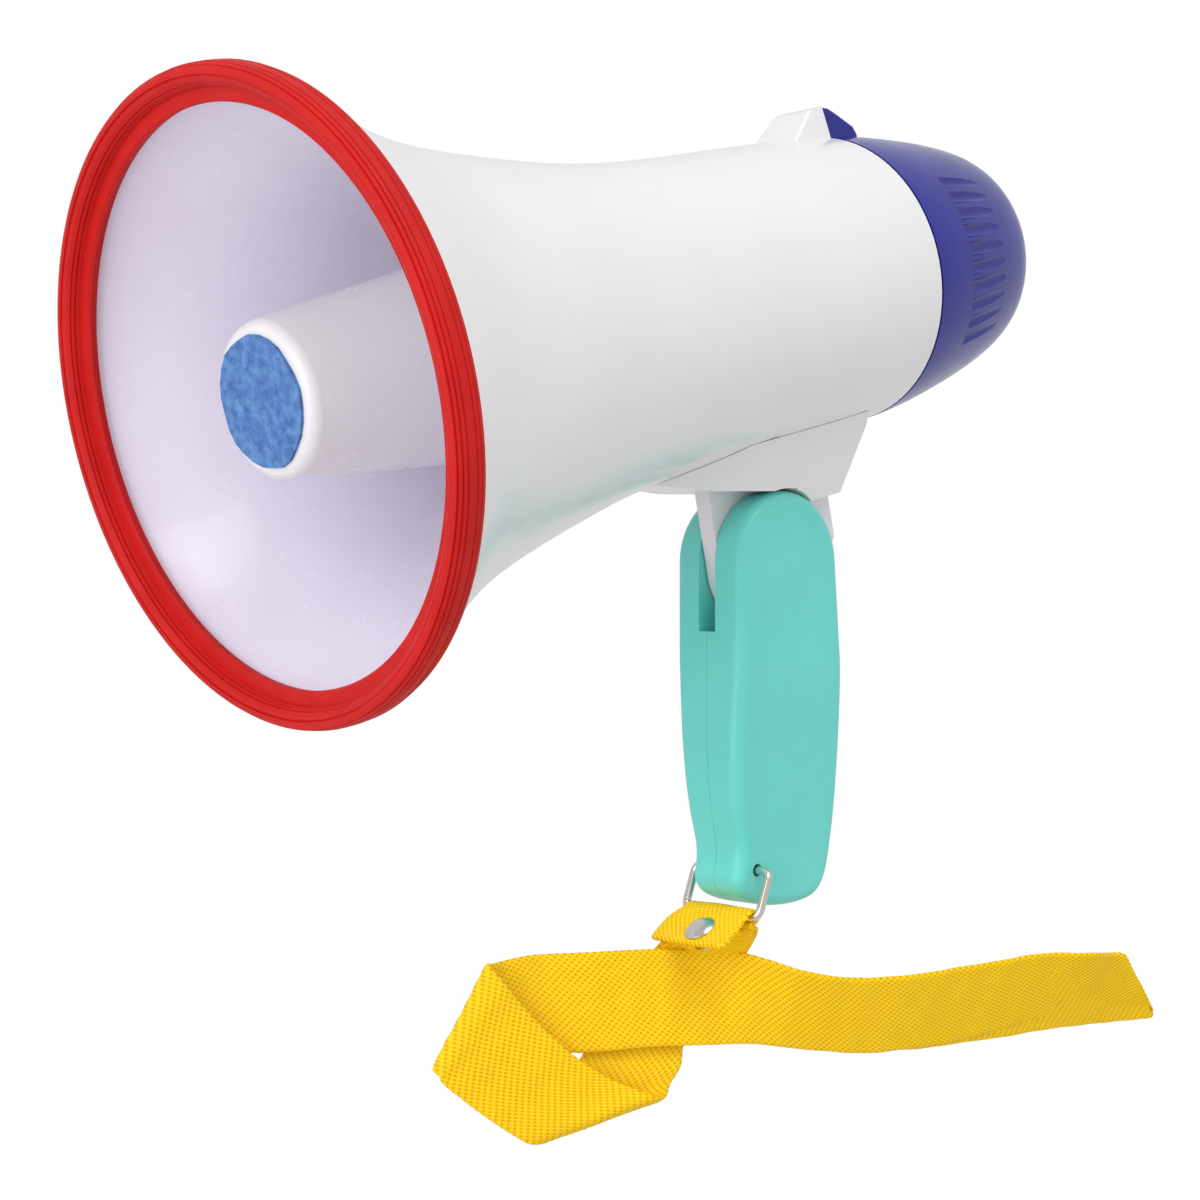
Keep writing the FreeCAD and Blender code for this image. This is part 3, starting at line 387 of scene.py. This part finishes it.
def ribbon_mesh(name, stations, spacing=0.42, columns=61):
    """The whole strap as one closed mesh with woven nubs on both faces, and its length in millimetres."""
    low, high, run_low, run_high, length = ribbon_rows(stations, spacing)
    v = np.linspace(0, 1, columns)[None, :, None]
    base = low[:, None, :] * (1 - v) + high[:, None, :] * v
    du = np.gradient(base, axis=0)
    dv = np.gradient(base, axis=1)
    normal = np.cross(du, dv)
    normal /= np.maximum(np.linalg.norm(normal, axis=2, keepdims=True), 1e-9)
    along = run_low[:, None] * (1 - v[..., 0]) + run_high[:, None] * v[..., 0]
    across = np.broadcast_to(v[..., 0] * WEB_W, along.shape)
    from_edge = np.minimum(across, WEB_W - across)
    thin = 1 - EDGE_THINNING * np.clip(1 - from_edge / EDGE_ROUND, 0, 1) ** 2
    nub = NUB_H * np.clip(from_edge / SELVEDGE, SELVEDGE_NUB, 1)
    ripple = 0.12 * np.sin(along * 0.21 + across * 0.13) + 0.08 * np.sin(along * 0.53 - across * 0.31)
    core = (WEB_T / 2 - NUB_H / 2) * thin
    top = base + normal * (core + nub * weave(along, across) + ripple)[..., None]
    under = base - normal * (core + nub * weave(along + NUB_ALONG / 2, across) - ripple)[..., None]
    rows = len(low)
    verts = np.concatenate([top.reshape(-1, 3), under.reshape(-1, 3)]) / 1000
    verts[:, 2] = np.maximum(verts[:, 2], GROUND_GAP)
    half = rows * columns
    i, j = np.meshgrid(np.arange(rows - 1), np.arange(columns - 1), indexing="ij")
    a = (i * columns + j).ravel()
    faces = [np.stack([a, a + columns, a + columns + 1, a + 1], 1),
             np.stack([a + half, a + half + 1, a + half + columns + 1, a + half + columns], 1)]
    r = np.arange(rows - 1) * columns
    c = np.arange(columns - 1)
    last = columns - 1
    faces.append(np.stack([r, r + half, r + half + columns, r + columns], 1))
    faces.append(np.stack([r + last, r + last + columns, r + last + half + columns, r + last + half], 1))
    faces.append(np.stack([c, c + 1, c + half + 1, c + half], 1))
    e = (rows - 1) * columns + c
    faces.append(np.stack([e, e + half, e + half + 1, e + 1], 1))
    faces = np.concatenate(faces)[:, ::-1]
    fray_verts, fray_faces = frayed_threads(len(verts))
    verts = np.concatenate([verts, fray_verts])
    faces = np.concatenate([faces, fray_faces])
    mesh = bpy.data.meshes.new(name)
    mesh.from_pydata(verts.tolist(), [], faces.tolist())
    uv = mesh.uv_layers.new(name="weave")
    flat = np.stack([np.concatenate([along.ravel()] * 2), np.concatenate([across.ravel()] * 2)], 1) / 1000
    flat = np.concatenate([flat, np.zeros((len(fray_verts), 2))])
    loops = np.empty(len(mesh.loops), dtype=np.int32)
    mesh.loops.foreach_get("vertex_index", loops)
    uv.data.foreach_set("uv", flat[loops].ravel())
    for p in mesh.polygons:
        p.use_smooth = True
    mesh.update()
    obj = bpy.data.objects.new(name, mesh)
    bpy.context.scene.collection.objects.link(obj)
    return obj, length


STRAP = FLAP + UNDER_LEFT + PANEL + BAND + RETURN
webbing, strap_length = ribbon_mesh("webbing_ribbon", STRAP)
webbing.data.materials.append(MATS["webbing"])
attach(webbing, "strap")
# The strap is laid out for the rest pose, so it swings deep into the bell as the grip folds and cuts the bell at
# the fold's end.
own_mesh(webbing)
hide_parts("strap_webbing")

# ---------------------------------------------------------------- camera
cam_data = bpy.data.cameras.new("camera")
cam = bpy.data.objects.new("camera", cam_data)
bpy.context.scene.collection.objects.link(cam)
# Where the photo was taken from, along the megaphone's own axes.
CAM_AT = own(443.92, -500.66, 24.89)
CAM_RIGHT = (AX * 0.6736 + AY * 0.7193 - AZ * 0.1698).normalized()
CAM_BACK = (AX * 0.7391 - AY * 0.6556 + AZ * 0.1547).normalized()
CAM_UP = CAM_BACK.cross(CAM_RIGHT).normalized()
view = Matrix((CAM_RIGHT, CAM_UP, CAM_BACK)).transposed().to_4x4()
view.translation = CAM_AT
cam.matrix_world = view
cam_data.sensor_width = 36.0
cam_data.lens = 69.6
cam_data.clip_start = 0.05
bpy.context.scene.camera = cam

# ---------------------------------------------------------------- light
AMBIENT = 0.72
bpy.context.scene.view_settings.view_transform = "Standard"
world = bpy.data.worlds.new("world")
bpy.context.scene.world = world
world.use_nodes = True
wnt = world.node_tree
bg = wnt.nodes["Background"]
bg.inputs["Color"].default_value = (1, 1, 1, 1)
bg.inputs["Strength"].default_value = AMBIENT
seen = add(wnt, "ShaderNodeBackground")
seen.inputs["Color"].default_value = (1, 1, 1, 1)
seen.inputs["Strength"].default_value = 1.0
path = add(wnt, "ShaderNodeLightPath")
mix = add(wnt, "ShaderNodeMixShader")
wnt.links.new(path.outputs["Is Camera Ray"], mix.inputs[0])
wnt.links.new(bg.outputs[0], mix.inputs[1])
wnt.links.new(seen.outputs[0], mix.inputs[2])
wnt.links.new(mix.outputs[0], wnt.nodes["World Output"].inputs["Surface"])


def area_light(name, at, toward, size_x, size_y, power, color=(1, 1, 1)):
    data = bpy.data.lights.new(name, "AREA")
    data.shape = "RECTANGLE"
    data.size = size_x
    data.size_y = size_y
    data.energy = power
    data.color = color
    light = bpy.data.objects.new(name, data)
    bpy.context.scene.collection.objects.link(light)
    light.location = at
    light.rotation_euler = (Vector(toward) - Vector(at)).to_track_quat("-Z", "Y").to_euler()


CENTRE = own(0, -90, 0)
area_light("key", CENTRE + CAM_UP * 0.9 + CAM_BACK * 0.6 + CAM_RIGHT * 0.25, CENTRE, 0.9, 0.6, 5.0)
area_light("fill", CENTRE + CAM_BACK * 1.2 - CAM_RIGHT * 0.7 + CAM_UP * 0.2, CENTRE, 0.9, 0.9, 3.6)
area_light("mouth", own(60, -700, 60), own(0, -150, 0), 0.5, 0.5, 1.0, (0.97, 0.95, 1.0))
